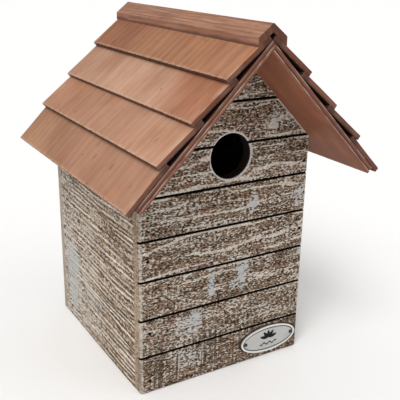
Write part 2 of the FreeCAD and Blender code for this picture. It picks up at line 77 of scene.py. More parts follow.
# --- thick spots of paint: (middle along and across the grain, half sizes, strength) --------------
FRONT_PATCHES = (
    (-12.5, 74, 3.6, 9, 0.9),
    (13.2, 77, 5.5, 12, 0.95),
    (8.5, 69, 5, 7, 0.6),
    (-25.5, 49, 5.5, 10, 0.9),
    (-34, 46, 9, 8, 0.45),
    (-30, 21, 16, 8, 0.5),
    (-38, 20, 4, 6, 0.65),
    (30, 42, 12, 8, 0.35),
    (21, 129, 3.6, 9, 0.85),
    (62, 127, 6, 9, 0.7),
    (37, 192, 3, 9, 0.5),
    (66, 84, 4, 5, 0.6),
)
SIDE_PATCHES = (
    (45, 56, 10, 13, 0.95),
    (50, 24, 10, 10, 0.85),
    (52, 44, 18, 32, 0.55),
    (4, 37, 14, 9, 0.55),
    (12, 98, 8, 5, 0.5),
    (-22, 72, 10, 5, 0.35),
    (-50, 26, 8, 5, 0.3),
)
BACK_PATCHES = (
    (-30, 150, 14, 10, 0.6),
    (40, 180, 10, 8, 0.5),
    (58, 90, 8, 20, 0.6),
    (-58, 60, 8, 14, 0.5),
)
DOOR_PATCHES = (
    (80, 10, 12, 8, 0.6),
    (30, -25, 10, 8, 0.5),
)

# --- colours and finishes -------------------------------------------------------------------------
PAINT = (0.46, 0.395, 0.325)
PAINT_BRIGHT = (0.72, 0.675, 0.61)
PAINT_COOL = (0.465, 0.485, 0.495)
PAINT_EDGE = (0.50, 0.480, 0.450)
# pale painted highlight for the front board's upright edges
PAINT_HIGHLIGHT = (0.43, 0.385, 0.335)
PAINT_RING = (0.60, 0.575, 0.545)
STAIN_DEEP = (0.014, 0.009, 0.006)
STAIN = (0.105, 0.064, 0.041)
STAIN_PALE = (0.30, 0.205, 0.140)
STAIN_INSIDE = (0.15, 0.10, 0.062)
STAIN_REDDENED = (1.06, 0.97, 0.95)
STAIN_GREENED = (0.98, 1.01, 0.95)
END_DARK = (0.14, 0.090, 0.050)
END_MIDDLE = (0.30, 0.210, 0.130)
END_PALE = (0.46, 0.35, 0.24)
SCRATCH = (0.050, 0.032, 0.022)
# painted shade round the plaque and deep in the entrance hole
PAINTED_SHADE = (0.022, 0.014, 0.010)
# painted shade for the nail holes and the grooves
HOLLOW_SHADE = (0.004, 0.003, 0.002)
SIDE_WARMTH = (1.0, 0.84, 0.66)
SIDE_RIDGE = (0.86, 0.78, 0.70)
SIDE_LINE = (0.060, 0.036, 0.020)
SIDE_LINE_TAN = (0.20, 0.122, 0.060)
WASH_SHINE = 0.12
WASH_RELIEF = 0.35

WOOD_FLUSH = (0.45, 0.180, 0.085)
WOOD_SMUDGE = (0.16, 0.065, 0.035)
WOOD_SHINE = 0.26
WOOD_RELIEF = 0.14
# painted shade on the hidden faces under the shingles and the cap and on top of the roof sheets, seen
# only in the gaps
GAP_SHADE = (0.03, 0.014, 0.009)

SHINGLE_DARK = (0.290, 0.118, 0.056)
SHINGLE_LIGHT = (0.545, 0.315, 0.206)
# pale wear near the roof's ends, and a painted highlight along each shingle's lower arris
SHINGLE_WEAR_AND_HIGHLIGHT = (0.56, 0.40, 0.28)
SHINGLE_SHADOW = (0.10, 0.045, 0.028)
SHINGLE_END_SHADE = (0.22, 0.15, 0.14)
SHINGLE_EDGE_SHADE = (0.34, 0.25, 0.24)
# Each board's own tint, and how it changes towards the back and towards the front.
SHINGLE_TINTS = ((0.73, 0.62, 0.51), (1.14, 1.26, 1.38), (0.96, 0.96, 0.98), (0.845, 0.81, 0.80))
SHINGLE_BACKS = ((0.83, 0.73, 0.69), (0.86, 0.82, 0.79), (0.92, 0.86, 0.79), (1.01, 1.07, 1.01))
SHINGLE_FRONTS = ((1.17, 1.20, 1.26), (0.735, 0.535, 0.425), (1.19, 1.26, 1.31), (1.07, 1.10, 1.12))

CAP_DARK = (0.170, 0.066, 0.035)
CAP_LIGHT = (0.44, 0.230, 0.142)
CAP_LINE = (0.19, 0.070, 0.036)
CAP_STREAK = (0.56, 0.36, 0.26)
CAP_SHADOW = (0.09, 0.036, 0.022)
CAP_UPRIGHT_SHADE = (0.80, 0.70, 0.66)
CAP_END_SHADE = (0.34, 0.25, 0.23)

PLY_DARK = (0.185, 0.060, 0.032)
PLY_LIGHT = (0.34, 0.132, 0.072)
# painted highlight along the upper edge of the outer plies
PLY_HIGHLIGHT = (0.70, 0.50, 0.40)
PLY_EDGE_SHADE = (0.62, 0.62, 0.66)
CORE_DARK = (0.05, 0.022, 0.015)
CORE_LIGHT = (0.12, 0.055, 0.035)
CORE_EDGE_SHADE = (0.7, 0.6, 0.6)

PINE_DARK = (0.26, 0.17, 0.10)
PINE_LIGHT = (0.48, 0.34, 0.21)
PINE_END_SHADE = (0.7, 0.65, 0.6)
PINE_EDGE_SHADE = (0.8, 0.8, 0.8)

IRON = (0.010, 0.009, 0.008)
IRON_SPOTS = (0.028, 0.014, 0.008)
ZINC = (0.58, 0.58, 0.57)
ZINC_SPOTS = (0.40, 0.38, 0.35)
SCREW_ZINC = (0.30, 0.30, 0.29)
SCREW_SPOTS = (0.12, 0.11, 0.10)
PIN_STEEL = (0.055, 0.055, 0.050)
PIN_SPOTS = (0.02, 0.016, 0.012)
ENAMEL = (0.455, 0.455, 0.440)
ENAMEL_RIM = (0.70, 0.70, 0.67)
ENAMEL_GRIME = (0.20, 0.18, 0.15)
INK = (0.008, 0.008, 0.007)
LINE_INK = (0.018, 0.019, 0.017)


def lit(colour, factor):
    return tuple(min(1.0, part * factor) for part in colour)


def tinted(colour, tint):
    return tuple(part * share for part, share in zip(colour, tint))


# --- directions -----------------------------------------------------------------------------------
def slope_axes(side, tilt=0.0):
    """(down the slope, along the roof, off the roof) for a sheet that leans off the slope by tilt."""
    down = Vector((side * math.cos(ROOF_ANGLE), 0, -math.sin(ROOF_ANGLE)))
    off = Vector((side * math.sin(ROOF_ANGLE), 0, math.cos(ROOF_ANGLE)))
    grain = down * math.cos(tilt) + off * math.sin(tilt)
    out = off * math.cos(tilt) - down * math.sin(tilt)
    return grain, out.cross(grain), out


def shingle_axes(side, course):
    """The lowest course lies flat on the roof sheet, and the others lean on the course below."""
    tilt = 0.0 if course == SHINGLE_COURSES else math.asin(SHINGLE_THICKNESS / SHINGLE_EXPOSURE)
    return slope_axes(side, tilt)


def extent(node, axis):
    """How far a CAD node reaches along a direction, as (least, most)."""
    places = [axis.dot(v.co) for v in frame["nodes"][node].data.vertices]
    return min(places), max(places)


# --- node materials -------------------------------------------------------------------------------
class Graph:
    """A procedural material in a board's own directions: along the grain, across it and through it.

    Places on the board are in metres, and the sizes of noise and lines are in millimetres.
    """

    def __init__(self, name, axes, seed):
        self.material = bpy.data.materials.new(name)
        self.material.use_nodes = True
        self.tree = self.material.node_tree
        self.shader = self.tree.nodes["Principled BSDF"]
        self.seed = seed
        coordinates = self.tree.nodes.new("ShaderNodeTexCoord")
        self.position = coordinates.outputs["Object"]
        self.normal = coordinates.outputs["Normal"]
        self.along, self.across, self.through = [self.dot(self.position, axis) for axis in axes]
        self.board = self.node("ShaderNodeCombineXYZ", self.along, self.across, self.through).outputs[0]
        self.facing = [self.dot(self.normal, axis) for axis in axes]

    def node(self, kind, *inputs, **settings):
        """A node with its inputs in order, each a socket to link or a value to set. None is skipped."""
        made = self.tree.nodes.new(kind)
        for key, value in settings.items():
            setattr(made, key, value)
        for socket, value in zip(made.inputs, inputs):
            self.feed(socket, value)
        return made

    def feed(self, socket, value):
        if isinstance(value, bpy.types.NodeSocket):
            self.tree.links.new(value, socket)
        elif value is not None:
            socket.default_value = value

    def dot(self, socket, axis):
        made = self.node("ShaderNodeVectorMath", socket, tuple(axis), operation="DOT_PRODUCT")
        return made.outputs["Value"]

    def math(self, operation, a, b=None):
        return self.node("ShaderNodeMath", a, b, operation=operation).outputs[0]

    def times(self, first, *others):
        for other in others:
            first = self.math("MULTIPLY", first, other)
        return first

    def plus(self, first, *others):
        for other in others:
            first = self.math("ADD", first, other)
        return first

    def minus(self, a, b):
        return self.math("SUBTRACT", a, b)

    def over(self, a, b):
        return self.math("DIVIDE", a, b)

    def size(self, value):
        return self.math("ABSOLUTE", value)

    def radius(self, u, v):
        return self.math("SQRT", self.plus(self.times(u, u), self.times(v, v)))

    def ease(self, value, low, high):
        """0 below low and 1 above high, smooth between them. With low above high it falls instead."""
        ramp = self.node("ShaderNodeMapRange", value, interpolation_type="SMOOTHSTEP")
        rising = low < high
        for name, number in zip(("From Min", "From Max"), (low, high) if rising else (high, low)):
            ramp.inputs[name].default_value = number
        for name, number in zip(("To Min", "To Max"), (0.0, 1.0) if rising else (1.0, 0.0)):
            ramp.inputs[name].default_value = number
        return ramp.outputs[0]

    def grain(self, sizes, detail, shift, contrast=1.0):
        """Noise round 0.5 whose blotches measure sizes along, across and through the grain."""
        scale = tuple(1 / (size * MM) for size in sizes)
        stretched = self.node("ShaderNodeVectorMath", self.board, scale, operation="MULTIPLY").outputs[0]
        offset = (self.seed + shift, 3.7 * shift - self.seed, 1.9 * self.seed)
        moved = self.node("ShaderNodeVectorMath", stretched, offset, operation="ADD").outputs[0]
        texture = self.node("ShaderNodeTexNoise", moved)
        texture.inputs["Scale"].default_value = 1.0
        texture.inputs["Detail"].default_value = detail
        raw = texture.outputs["Fac"]
        if contrast == 1.0:
            return raw
        return self.plus(self.times(self.minus(raw, 0.5), contrast), 0.5)

    def swing(self, amount, sizes, detail, shift):
        """Noise round 0 that spans about amount in all."""
        return self.times(self.minus(self.grain(sizes, detail, shift), 0.5), amount)

    def rings(self, pitch, wander, reach, shift, slant=0.0):
        """Lines along the grain, pitch apart, that wander over a length of reach.

        0 is the middle of a gap and 1 the middle of a line.
        """
        drift = self.swing(2 * wander * MM, (reach, reach / 5, reach), 2, shift)
        leaning = self.plus(self.across, drift, self.times(self.along, slant))
        phase = self.over(leaning, pitch * MM)
        saw = self.minus(self.math("FRACT", phase), 0.5)
        return self.minus(1.0, self.times(self.size(saw), 2.0))

    def total(self, *terms):
        """A sum of (socket, weight) pairs."""
        return self.plus(*[self.times(socket, weight) for socket, weight in terms])

    def mix(self, factor, a, b, blend="MIX"):
        made = self.node("ShaderNodeMix", data_type="RGBA", blend_type=blend)
        self.feed(made.inputs["Factor"], factor)
        for socket, value in zip([s for s in made.inputs if s.type == "RGBA"], (a, b)):
            self.feed(socket, (*value, 1.0) if isinstance(value, tuple) else value)
        return [s for s in made.outputs if s.type == "RGBA"][0]

    def shade(self, colour, shade):
        return self.mix(1.0, colour, shade, "MULTIPLY")

    def ramp(self, value, *stops):
        made = self.node("ShaderNodeValToRGB", value)
        elements = made.color_ramp.elements
        while len(elements) < len(stops):
            elements.new(0.5)
        for element, (place, colour) in zip(elements, stops):
            element.position = place
            element.color = (*colour, 1.0)
        return made.outputs["Color"]

    def finish(self, colour, roughness, height, relief, **values):
        """Links the surface up. relief is what a change of 1 in height stands for, in millimetres."""
        self.feed(self.shader.inputs["Base Color"], colour)
        self.feed(self.shader.inputs["Roughness"], roughness)
        for name, value in values.items():
            self.shader.inputs[name.replace("_", " ")].default_value = value
        bump = self.node("ShaderNodeBump")
        bump.inputs["Strength"].default_value = 1.0
        bump.inputs["Distance"].default_value = relief * MM
        self.feed(bump.inputs["Height"], height)
        self.feed(self.shader.inputs["Normal"], bump.outputs[0])
        return self.material


# --- whitewashed boards ---------------------------------------------------------------------------
def nothing(g):
    return 0.0


def even_lines(g):
    return 0.16


def patch_mask(g, patches):
    """Soft-edged ovals, the strongest kept where they meet."""
    wobble = g.swing(2.4, (5, 4, 5), 3, 8.0)
    result = 0.0
    for centre_u, centre_v, half_u, half_v, strength in patches:
        du = g.over(g.minus(g.along, centre_u * MM), half_u * MM)
        dv = g.over(g.minus(g.across, centre_v * MM), half_v * MM)
        spot = g.times(g.ease(g.plus(g.radius(du, dv), wobble), 1.35, 0.35), strength)
        result = g.math("MAXIMUM", result, spot)
    return result


def brown_stain(g, pore):
    ring = g.grain((70, 4.0, 40), 3, 6.0, 2.0)
    stain = g.ramp(g.total((pore, 0.74), (ring, 0.26)),
                   (0.28, STAIN_DEEP), (0.50, STAIN), (0.80, STAIN_PALE))
    cast = g.mix(g.ease(g.grain((16, 8, 12), 1, 31.0, 2.6), 0.25, 0.75), STAIN_REDDENED, STAIN_GREENED)
    return g.shade(stain, cast)


def whitewashed(name, axes, seed, cover, outward, patches, extra=nothing, lines=even_lines,
                weights=(0.54, 0.18, 0.07, 0.20), fleck_sizes=(2.2, 1.2, 1.6)):
    """Brown stain under a brushed, worn whitewash, as (graph, colour, height).

    cover is how much of it is white, and outward is the side of axes[2] that faces out of the box.
    extra is a function of the graph that changes the cover in places, and lines is one that gives
    the strength of the wavy white lines. weights are those of the flecks, the streaks, the brush marks
    and the clouds in the wash, and fleck_sizes are the flecks' sizes in millimetres.
    """
    g = Graph(name, axes, seed)
    fleck = g.grain(fleck_sizes, 3.6, 1.0, 3.4)
    streak = g.grain((44, 2.4, 30), 3, 2.0, 2.6)
    brush = g.grain((1.1, 16, 10), 2, 3.0, 2.0)
    cloud = g.grain((22, 13, 20), 2, 4.0, 2.2)
    line = g.ease(g.rings(9.6, 11.0, 75, 13.0, -0.04), 0.72, 0.92)
    where = g.ease(g.grain((34, 9, 20), 1, 14.0, 2.0), 0.30, 0.56)
    spots = patch_mask(g, patches)
    wash = g.total(*zip((fleck, streak, brush, cloud), weights))
    wash = g.plus(wash, g.times(line, where, lines(g)), extra(g), g.times(spots, 0.30))
    level = 0.5 * sum(weights) + (0.5 - cover) * 0.62
    white = g.ease(wash, level - 0.11, level + 0.12)

    pore = g.grain((1.9, 0.8, 1.2), 2, 5.0, 2.8)
    stain = brown_stain(g, pore)
    paint = g.mix(g.ease(g.grain((1.3, 1.0, 1.2), 2, 7.0, 2.8), 0.2, 0.9), PAINT, PAINT_BRIGHT)
    paint = g.mix(g.math("MINIMUM", g.times(spots, 1.1), 0.9), paint, PAINT_COOL)
    colour = g.mix(g.times(white, 0.88), stain, paint)

    end = g.ease(g.size(g.facing[0]), 0.80, 0.95)
    tan = g.ramp(g.total((g.grain((2, 22, 0.9), 3, 9.0, 2.2), 0.6), (fleck, 0.4)),
                 (0.15, END_DARK), (0.55, END_MIDDLE), (0.85, END_PALE))
    colour = g.mix(end, colour, g.mix(g.times(white, 0.25), tan, paint))
    inside = g.ease(g.times(g.facing[2], -outward), 0.5, 0.9)
    colour = g.mix(inside, colour, g.mix(0.62, stain, STAIN_INSIDE))
    return g, colour, g.total((streak, 0.30), (pore, 0.25), (white, 0.7))


def planks(g):
    """How many plank heights a place is above the lowest groove."""
    return g.over(g.minus(g.across, FIRST_GROOVE * MM), GROOVE_PITCH * MM)


def front_extra(g):
    """More white beside the grooves and at the upright edges, and less at the foot and in the gable.

    Upright streaks cross the grain, mostly low down.
    """
    rise = g.times(g.math("FRACT", planks(g)), GROOVE_PITCH)
    patchy = g.ease(g.grain((24, 6, 6), 1, 25.0, 2.0), 0.25, 0.75)
    high = g.plus(g.times(g.ease(g.across, 60 * MM, 110 * MM), 0.24), 0.06)
    below_groove = g.times(g.ease(rise, GROOVE_PITCH - 2.8, GROOVE_PITCH - 1.4), patchy, high)
    above_groove = g.times(g.ease(rise, 2.4, 1.2), 0.08)
    upright = g.times(g.ease(g.size(g.along), HALF_WIDTH - 3.0 * MM, HALF_WIDTH - 1.4 * MM), 0.14)
    low = g.plus(g.times(g.ease(g.across, 34 * MM, 14 * MM), 0.22), 0.05)
    streaks = g.times(g.minus(g.grain((1.5, 30, 9), 1, 15.0, 2.4), 0.60), low)
    gable = g.times(g.ease(g.across, 175 * MM, 225 * MM), -0.01)
    foot = g.times(g.ease(g.across, 30 * MM, 0.0), -0.07)
    return g.plus(below_groove, above_groove, upright, streaks, gable, foot)


def front_lines(g):
    """The wavy white lines are faint in the lowest planks, and a little weaker from the hole up."""
    middle = g.times(g.ease(g.across, 50 * MM, 95 * MM), 0.34)
    top = g.times(g.ease(g.across, 140 * MM, 175 * MM), -0.10)
    return g.plus(middle, top, 0.08)


def saw_marks(g, colour, outer):
    """Fine dark upright scratches in the lowest planks."""
    scratch = g.ease(g.grain((2.0, 46, 9), 1, 28.0, 3.2), 0.66, 0.92)
    low = g.ease(g.across, 52 * MM, 26 * MM)
    face = g.ease(g.size(g.facing[0]), 0.90, 0.60)
    return g.mix(g.times(scratch, low, face, outer, 0.60), colour, SCRATCH)


def highlit_uprights(g, colour):
    """A pale painted highlight down the two upright edges, twice as strong on the left."""
    left = g.ease(g.along, -HALF_WIDTH + 2.4 * MM, -HALF_WIDTH + 1.6 * MM)
    right = g.times(g.ease(g.along, HALF_WIDTH - 1.6 * MM, HALF_WIDTH - 0.8 * MM), 0.5)
    face = g.ease(g.size(g.facing[0]), 0.97, 0.70)
    patchiness = g.plus(g.times(g.grain((4, 2, 4), 2, 16.0, 2.4), 0.7), 0.15)
    return g.mix(g.times(g.math("MAXIMUM", left, right), face, patchiness), colour, PAINT_HIGHLIGHT)


def worn_gable(g, colour, outer):
    """A thin pale line along the gable's slopes, faint above the highest groove."""
    rise = g.plus(g.size(g.along), g.across, g.swing(1.6 * MM, (3, 3, 3), 2, 33.0))
    line = g.ease(rise, GABLE_SUM - 1.7 * MM, GABLE_SUM - 0.9 * MM)
    below = g.plus(g.times(g.ease(g.across, 207 * MM, 202 * MM), 0.75), 0.10)
    return g.mix(g.times(line, below, outer), colour, PAINT_RING)


def plaque_shadow(g, colour, outer, ragged):
    """A painted shadow: a dark ring just outside the plaque, wider at its upper left."""
    low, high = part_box("plaque")
    middle_x = (low.x + high.x) / 2 - 0.6 * MM
    middle_z = (low.z + high.z) / 2 + 0.6 * MM
    du = g.over(g.minus(g.along, middle_x), (high.x - low.x) / 2)
    dv = g.over(g.minus(g.across, middle_z), (high.z - low.z) / 2)
    around = g.plus(g.radius(du, dv), g.times(ragged, 40.0))
    return g.mix(g.times(g.ease(around, 1.12, 1.02), outer, 0.86), colour, PAINTED_SHADE)


def nail_hole_shade(g, colour, outer):
    # Painted shade: each nail hole and its rim, out to 1.5 mm, is painted nearly black.
    for nail_x, nail_z in FRONT_NAILS:
        gap = g.radius(g.minus(g.along, nail_x * MM), g.minus(g.across, nail_z * MM))
        colour = g.mix(g.times(g.ease(gap, 1.50 * MM, 1.05 * MM), outer, 0.94), colour, HOLLOW_SHADE)
    return colour


def groove_shade(g, colour):
    # Painted shade: the groove walls and floors, from 0.3 mm to about 3 mm in from the front, are
    # painted nearly black.
    deep = g.ease(g.through, FRONT + 0.05 * MM, FRONT + 0.30 * MM)
    shallow = g.ease(g.through, FRONT + (GROOVE_REACH + 0.2) * MM, FRONT + (GROOVE_REACH - 0.2) * MM)
    rise = planks(g)
    off = g.times(g.size(g.minus(rise, g.math("ROUND", rise))), GROOVE_PITCH)
    slot = g.ease(off, GROOVE_HALF_WIDTH + 0.25, GROOVE_HALF_WIDTH + 0.05)
    return g.mix(g.times(deep, slot, shallow), colour, HOLLOW_SHADE)


def front_material():
    g, colour, height = whitewashed("whitewashed_front", (X, Z, Y), 3.1, 0.36, -1, FRONT_PATCHES,
                                    front_extra, front_lines)
    outer = g.ease(g.through, FRONT + 3.0 * MM, FRONT + 2.0 * MM)
    from_hole = g.radius(g.minus(g.along, HOLE_X * MM), g.minus(g.across, HOLE_HEIGHT * MM))
    ragged = g.swing(2.2 * MM, (2, 2, 2), 2, 17.0)
    colour = saw_marks(g, colour, outer)
    colour = highlit_uprights(g, colour)
    colour = worn_gable(g, colour, outer)
    ring = g.ease(g.plus(from_hole, ragged), (HOLE_RADIUS + 1.6) * MM, (HOLE_RADIUS + 0.9) * MM)
    colour = g.mix(g.times(ring, outer, 0.92), colour, PAINT_RING)
    colour = plaque_shadow(g, colour, outer, ragged)
    colour = nail_hole_shade(g, colour, outer)
    # Painted shade deep in the entrance hole: its walls are painted nearly black from about 0.5 mm in.
    bore = g.ease(from_hole, (HOLE_RADIUS + 0.5) * MM, (HOLE_RADIUS + 0.2) * MM)
    deep = g.ease(g.through, FRONT + 0.5 * MM, FRONT + 0.9 * MM)
    colour = g.mix(g.times(deep, bore), colour, PAINTED_SHADE)
    colour = groove_shade(g, colour)
    return g.finish(colour, 0.82, height, WASH_RELIEF, Specular_IOR_Level=WASH_SHINE)


def side_extra(g):
    """Barer towards the front."""
    return g.times(g.ease(g.along, 30 * MM, -70 * MM), -0.06)


def sawn_face(g, colour):
    """A side board's outer face, lined along the grain. The front is warmer and more strongly lined."""
    front = g.ease(g.plus(g.along, g.swing(0.14, (45, 26, 20), 2, 32.0)), 68 * MM, -32 * MM)
    saw = g.rings(3.9, 6.5, 120, 18.0)
    broken = g.ease(g.grain((70, 3.4, 20), 1, 19.0, 2.4), 0.12, 0.48)
    fine = g.ease(g.grain((90, 1.3, 20), 1, 11.0, 3.0), 0.62, 0.92)
    lines = g.math("MAXIMUM", g.times(g.ease(saw, 0.46, 0.80), broken), g.times(fine, 0.8))
    ridges = g.times(g.ease(saw, 0.42, 0.14), g.ease(g.grain((40, 4, 20), 1, 26.0, 2.4), 0.20, 0.62))
    hue = g.mix(g.ease(g.grain((20, 3, 20), 1, 20.0, 2.4), 0.3, 0.8), SIDE_LINE, SIDE_LINE_TAN)
    colour = g.mix(g.times(front, 0.40), colour, g.shade(colour, SIDE_WARMTH))
    colour = g.mix(g.times(ridges, g.plus(g.times(front, 0.54), 0.22)), colour, SIDE_RIDGE)
    return g.mix(g.times(lines, g.plus(g.times(front, 0.60), 0.26)), colour, hue)


def side_material(name, side):
    g, colour, height = whitewashed(f"whitewashed_side_{name}", (Y, Z, X), 7.7 + side, 0.63, side,
                                    SIDE_PATCHES, side_extra, nothing,
                                    (0.56, 0.26, 0.05, 0.14), (3.0, 1.25, 1.4))
    outside = g.ease(g.times(g.facing[2], side), 0.3, 0.8)
    colour = g.mix(outside, colour, sawn_face(g, colour))
    return g.finish(colour, 0.80, height, WASH_RELIEF, Specular_IOR_Level=WASH_SHINE)


def back_material():
    g, colour, height = whitewashed("whitewashed_back", (X, Z, Y), 12.4, 0.56, 1, BACK_PATCHES)
    edge = g.ease(g.size(g.along), HALF_WIDTH - 2.0 * MM, HALF_WIDTH - 0.6 * MM)
    colour = g.mix(g.times(edge, 0.30), colour, PAINT_EDGE)
    return g.finish(colour, 0.82, height, WASH_RELIEF, Specular_IOR_Level=WASH_SHINE)


def door_material():
    g, colour, height = whitewashed("whitewashed_door", (Z, X, Y), 15.2, 0.54, 1, DOOR_PATCHES)
    return g.finish(colour, 0.82, height, WASH_RELIEF, Specular_IOR_Level=WASH_SHINE)


# --- stained roof and bare floor ------------------------------------------------------------------
def unmarked(g, colour):
    return colour


def stained(name, axes, seed, dark, light, end_shade, edge_shade, figure=1.0, ripple=0.5,
            marks=unmarked):
    """Smooth stained wood. The shades darken the end grain and the long edges.

    figure and ripple scale the fine and the wide grain. marks is a function of the graph and the
    colour that returns the colour with its own marks.
    """
    g = Graph(name, axes, seed)
    band = g.grain((70, 9, 30), 3, 1.0, 1.9)
    line = g.grain((60, 1.5, 20), 3, 2.0, 1.8)
    pore = g.grain((8, 0.6, 3), 1, 3.0, 2.2)
    cloud = g.grain((34, 32, 30), 2, 4.0, 2.0)
    wave = g.ease(g.rings(8.5, 9.0, 90, 6.0, 0.03), 0.0, 1.0)
    terms = ((band, 0.10 * figure), (line, 0.12 * figure), (pore, 0.09), (cloud, 0.25),
             (wave, 0.13 * ripple))
    middle = 0.5 * sum(weight for _, weight in terms)
    colour = g.ramp(g.total(*terms), (middle - 0.24, dark), (middle + 0.24, light))
    flush = g.ease(g.grain((24, 16, 20), 3, 5.0, 2.0), 0.52, 0.95)
    colour = g.mix(g.times(flush, 0.36), colour, WOOD_FLUSH)
    smudge = g.ease(g.grain((9, 4, 8), 2, 7.0, 2.2), 0.90, 1.04)
    colour = g.mix(g.times(smudge, 0.60), colour, WOOD_SMUDGE)
    colour = marks(g, colour)
    for facing, shade in zip(g.facing, (end_shade, edge_shade)):
        colour = g.mix(g.ease(g.size(facing), 0.6, 0.9), colour, g.shade(colour, shade))
    rough = g.plus(g.total((line, 0.16), (cloud, 0.14), (pore, 0.08)), 0.40)
    height = g.total((line, 0.55), (pore, 0.45))
    return g.finish(colour, rough, height, WOOD_RELIEF, Specular_IOR_Level=WOOD_SHINE)


def shingle_material(name, side, course, spans):
    """spans are the board's reach along, across and through its grain, for the wear, the painted
    highlight and the painted shadow at its edges.
    """
    order = (course - 1 + (side > 0)) % len(SHINGLE_TINTS)
    tint = SHINGLE_TINTS[order]
    top, foot = spans[0]
    half = (spans[1][1] - spans[1][0]) / 2

    def marks(g, colour):
        place = g.plus(g.dot(g.position, Y), g.swing(0.06, (40, 40, 40), 1, 24.0))
        behind = g.ease(place, 0.0, BACK - 30 * MM)
        before = g.ease(place, -45 * MM, FRONT - 10 * MM)
        shade = g.mix(behind, (1.0, 1.0, 1.0), SHINGLE_BACKS[order])
        colour = g.shade(colour, g.mix(before, shade, SHINGLE_FRONTS[order]))
        edge_noise = g.grain((2.2, 1.6, 2.2), 2, 21.0, 2.4)
        # A painted highlight along the arris of the lower end, broken up by noise.
        low_end = g.ease(g.along, foot - 2.6 * MM, foot - 0.5 * MM)
        pale = g.times(low_end, g.ease(edge_noise, 0.30, 0.75), 0.55)
        # Pale wear near the two ends of the roof.
        inset = g.minus(g.size(g.minus(g.across, sum(spans[1]) / 2)), half)
        patchiness = g.ease(g.grain((16, 6, 9), 2, 22.0, 2.2), 0.45, 0.9)
        long_edge = g.times(g.ease(inset, -7.0 * MM, -0.5 * MM), patchiness, 0.5)
        colour = g.mix(g.math("MAXIMUM", pale, long_edge), colour, SHINGLE_WEAR_AND_HIGHLIGHT)
        lap = g.ease(g.along, top + 8.4 * MM, top + 5.2 * MM)
        colour = g.mix(g.times(lap, 0.6), colour, SHINGLE_SHADOW)
        level = g.minus(g.through, spans[2][0])
        lower = g.times(g.ease(level, 1.5 * MM, 0.3 * MM), g.ease(edge_noise, 0.10, 0.50))
        colour = g.mix(g.times(lower, 0.75), colour, SHINGLE_SHADOW)
        # Painted shade: the underside, seen only in the gap over the course or sheet below, is painted
        # nearly black.
        return g.mix(g.ease(g.facing[2], -0.5, -0.9), colour, GAP_SHADE)

    seed = 2.3 * course + 11 * (side > 0)
    ripple = 1.0 if course == 1 else 0.45
    return stained(f"shingle_wood_{name}_{course}", shingle_axes(side, course), seed,
                   tinted(SHINGLE_DARK, tint), tinted(SHINGLE_LIGHT, tint),
                   SHINGLE_END_SHADE, SHINGLE_EDGE_SHADE, 1.0, ripple, marks)


def cap_material():
    """The rings lie at a tilt in the moulding, so both its sloping and its upright faces show them."""
    def marks(g, colour):
        wave = g.ease(g.rings(2.7, 4.2, 90, 23.0, 0.02), 0.45, 0.95)
        broken = g.ease(g.grain((40, 3, 20), 2, 24.0, 2.2), 0.25, 0.65)
        colour = g.mix(g.times(wave, broken, 0.66), colour, CAP_LINE)
        pale = g.ease(g.grain((50, 1.6, 20), 2, 25.0, 2.8), 0.62, 0.92)
        colour = g.mix(g.times(pale, 0.28), colour, CAP_STREAK)
        upright = g.ease(g.size(g.dot(g.normal, X)), 0.85, 0.97)
        height = g.plus(g.dot(g.position, Z), g.swing(3.0 * MM, (18, 18, 18), 2, 29.0))
        foot = g.ease(height, CAP_FOOT + 2.9 * MM, CAP_FOOT + 1.0 * MM)
        colour = g.mix(g.times(upright, foot, 0.8), colour, CAP_SHADOW)
        colour = g.mix(upright, colour, g.shade(colour, CAP_UPRIGHT_SHADE))
        # Painted shade on the cap's underside.
        return g.mix(g.ease(g.dot(g.normal, Z), -0.4, -0.7), colour, GAP_SHADE)

    across = Vector((0.894, 0, 0.447))
    return stained("ridge_wood", (Y, across, across.cross(Y)), 21.0, CAP_DARK, CAP_LIGHT,
                   CAP_END_SHADE, (1.0, 1.0, 1.0), 1.3, 0.4, marks)


def ply_material(name, side, seed, base, dark, light, edge_shade):
    """base is the height of the sheet's lower face. Both outer plies have a pale painted highlight along
    their upper edge, and the top face is painted dark as shade.
    """
    def marks(g, colour):
        level = g.minus(g.through, base)
        upper = g.ease(level, 4.0 * MM, 4.6 * MM)
        lower = g.times(g.ease(level, 0.9 * MM, 1.5 * MM), g.ease(level, 2.3 * MM, 2.0 * MM))
        patchiness = g.ease(g.grain((9, 9, 2), 2, 27.0, 2.2), 0.20, 0.75)
        pale = g.times(g.math("MAXIMUM", upper, lower), patchiness, 0.62)
        colour = g.mix(pale, colour, PLY_HIGHLIGHT)
        # Painted shade on the top face, seen only in the gaps under the shingles.
        return g.mix(g.ease(g.facing[2], 0.5, 0.9), colour, GAP_SHADE)

    return stained(name, slope_axes(side), seed, dark, light, edge_shade, edge_shade, 1.6, 0.0, marks)


def floor_material():
    return stained("bare_pine", (Y, X, Z), 31.0, PINE_DARK, PINE_LIGHT, PINE_END_SHADE, PINE_EDGE_SHADE)


# --- metal, enamel and ink ------------------------------------------------------------------------
def metal(name, colour, roughness, seed, spots):
    """Plated steel or iron with dull spots."""
    g = Graph(name, (X, Y, Z), seed)
    cloud = g.grain((3, 3, 3), 4, 1.0, 2.0)
    scratch = g.grain((12, 0.4, 0.4), 2, 2.0, 2.0)
    spot = g.ease(g.grain((1.6, 1.6, 1.6), 3, 3.0, 2.0), 0.70, 0.95)
    shade = g.mix(cloud, lit(colour, 0.78), lit(colour, 1.12))
    shade = g.mix(g.times(spot, 0.6), shade, spots)
    rough = g.plus(g.total((cloud, 0.22), (scratch, 0.12), (spot, 0.25)), roughness - 0.17)
    return g.finish(shade, rough, g.total((cloud, 0.5), (scratch, 0.5)), 0.03, Metallic=0.9)


